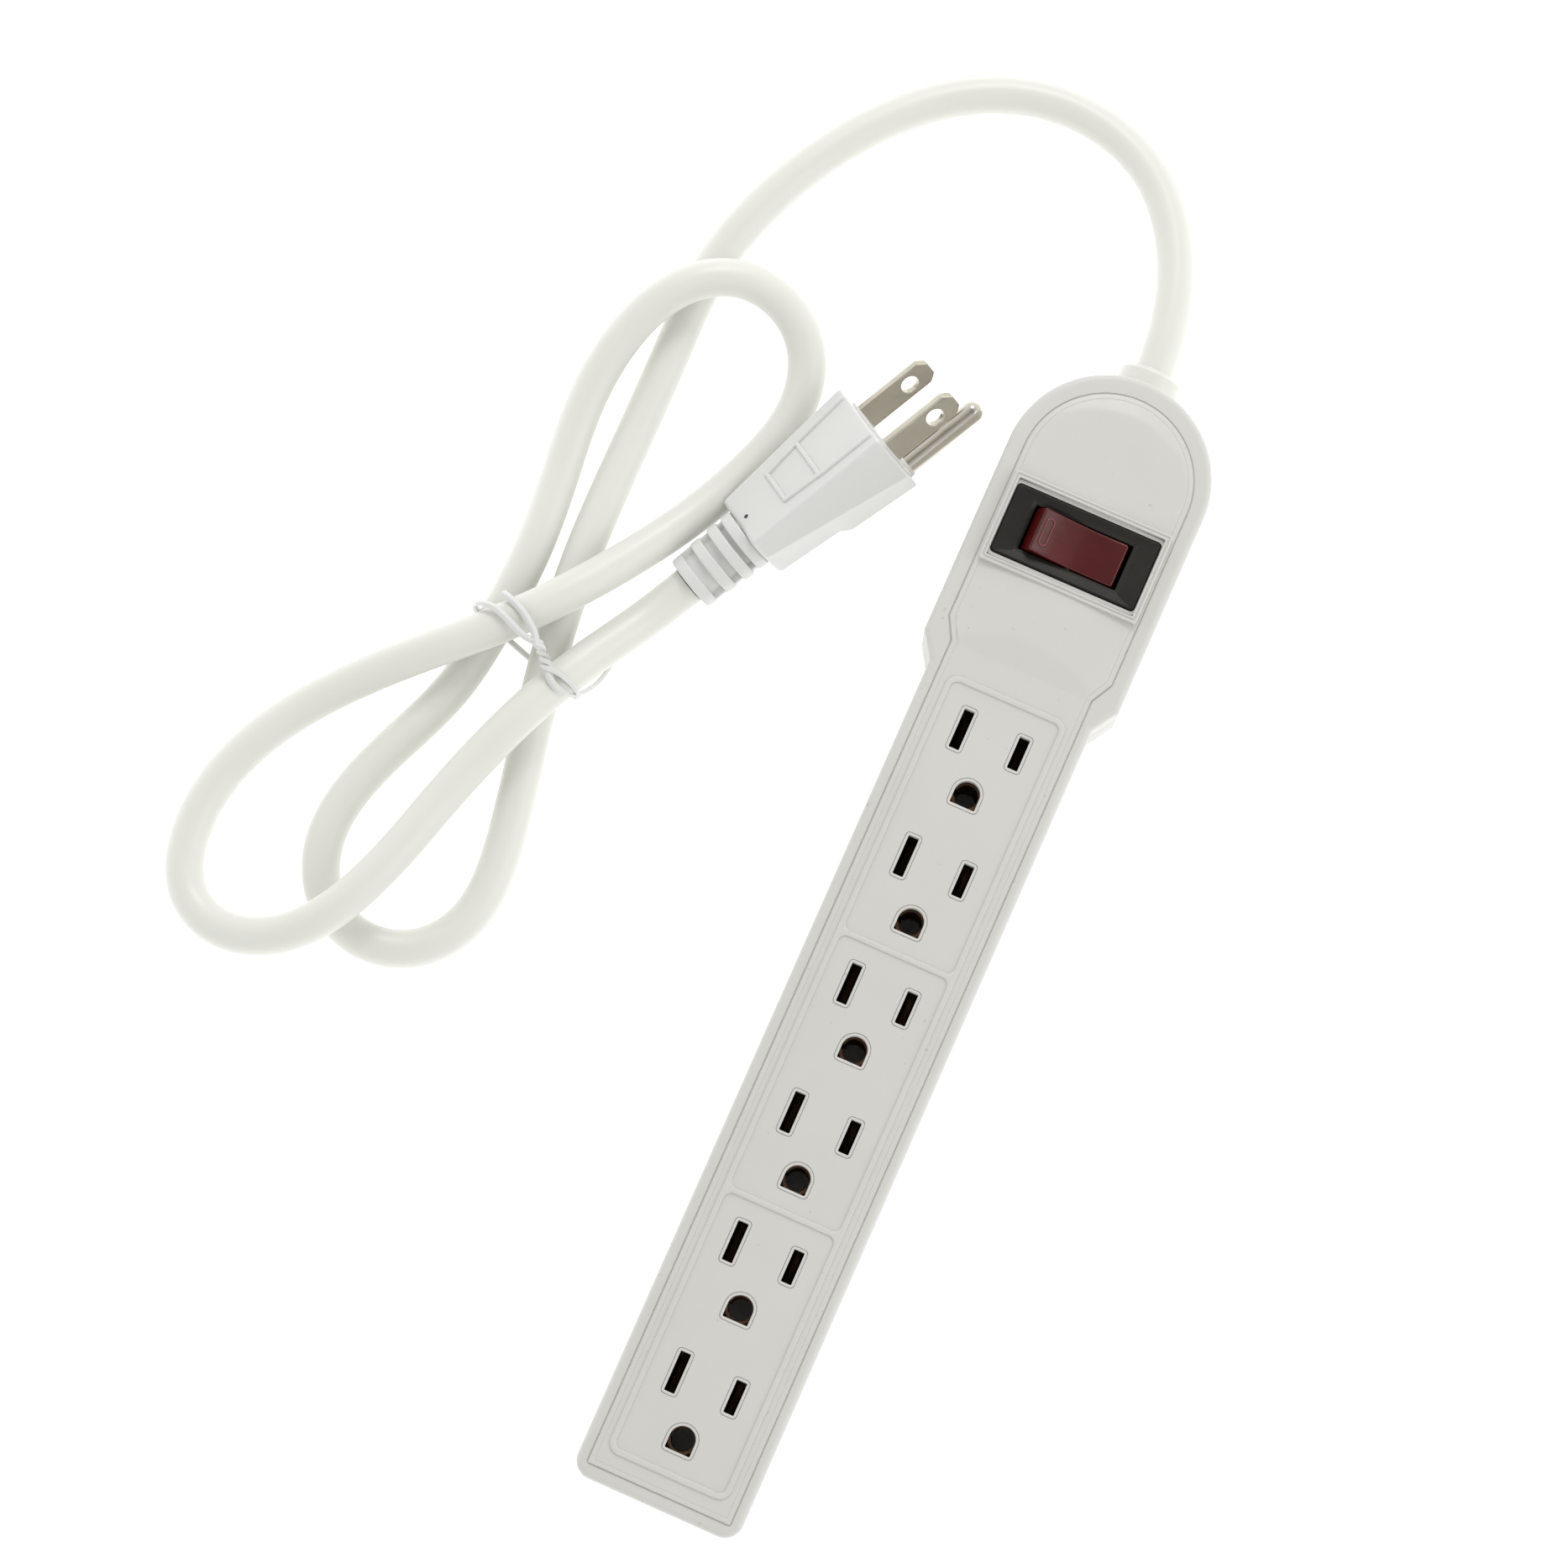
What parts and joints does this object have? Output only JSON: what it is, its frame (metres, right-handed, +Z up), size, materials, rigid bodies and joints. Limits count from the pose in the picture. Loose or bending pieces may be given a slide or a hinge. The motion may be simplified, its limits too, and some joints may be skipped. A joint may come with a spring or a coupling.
{
  "type": "power strip",
  "caption": "Long flat power strip with a row of grounded outlets, a wider rounded head with a rocker switch, and a tied white cord with a moulded grounded plug.",
  "frame": {"origin": "middle of the housing's underside, measured without the cord, its collar and its plug", "axes": "+Y along the strip towards the switch and cord, +X to the side of the narrow live slots, +Z up out of the outlet face"},
  "size_m": [0.1713, 0.3084, 0.0284],
  "materials": {
    "housing_plastic": "fine satin",
    "screw_steel": "zinc plated",
    "brass": "bright",
    "switch_black": "semi gloss",
    "rocker_red": "dark translucent red",
    "plunger_nylon": "plain",
    "spring_steel": "drawn",
    "lamp_glass": "clear",
    "resistor_ceramic": "plain",
    "cord_pvc": "satin flexible",
    "carrier_plastic": "satin",
    "clamp_fibre": "plain",
    "wire_black": "plain",
    "wire_white": "plain",
    "wire_green": "plain",
    "tie_white": "plain",
    "nickel": "nickel plated, satin"
  },
  "bodies": {
    "strip": {"top_cover": "housing_plastic", "base_cover": "housing_plastic", "housing_screws": "screw_steel", "busbar_tray": "carrier_plastic", "neutral_busbar": "brass", "hot_busbar": "brass", "ground_busbar": "brass", "switch_housing": "switch_black", "rocker_pin": "screw_steel", "line_terminal": "brass", "load_terminal": "brass", "lamp_terminal": "brass", "neon_lamp": "lamp_glass", "lamp_resistor": "resistor_ceramic", "cord_gland": "cord_pvc", "cord_clamp": "clamp_fibre", "clamp_screws": "screw_steel", "cord_tail": "cord_pvc", "line_lead": "wire_black", "neutral_lead": "wire_white", "ground_lead": "wire_green", "load_jumper": "wire_black", "power_cord": "cord_pvc", "twist_tie": "tie_white", "plug_overmould": "cord_pvc", "plug_blade_carrier": "carrier_plastic", "plug_neutral_blade": "nickel", "plug_hot_blade": "nickel", "plug_ground_pin": "nickel", "plug_cord_tail": "cord_pvc", "plug_conductors": "wire_white"},
    "rocker": {"rocker": "rocker_red", "rocker_plunger": "plunger_nylon", "plunger_spring": "spring_steel"},
    "contact_arm": {"contact_arm": "brass"}
  },
  "joints": [
    {"name": "rocker_hinge", "type": "hinge", "parent": "strip", "child": "rocker", "pos_m": [0, 0.0878, 0.022], "axis": [0, -1, 0], "range_deg": [0, 16]},
    {"name": "contact_tilt", "type": "hinge", "parent": "strip", "child": "contact_arm", "pos_m": [0, 0.0878, 0.0126], "axis": [0, -1, 0], "range_deg": [-12, 0]}
  ],
  "couplings": [
    {"joint": "contact_tilt", "follows": "rocker_hinge", "ratio": -0.75}
  ]
}
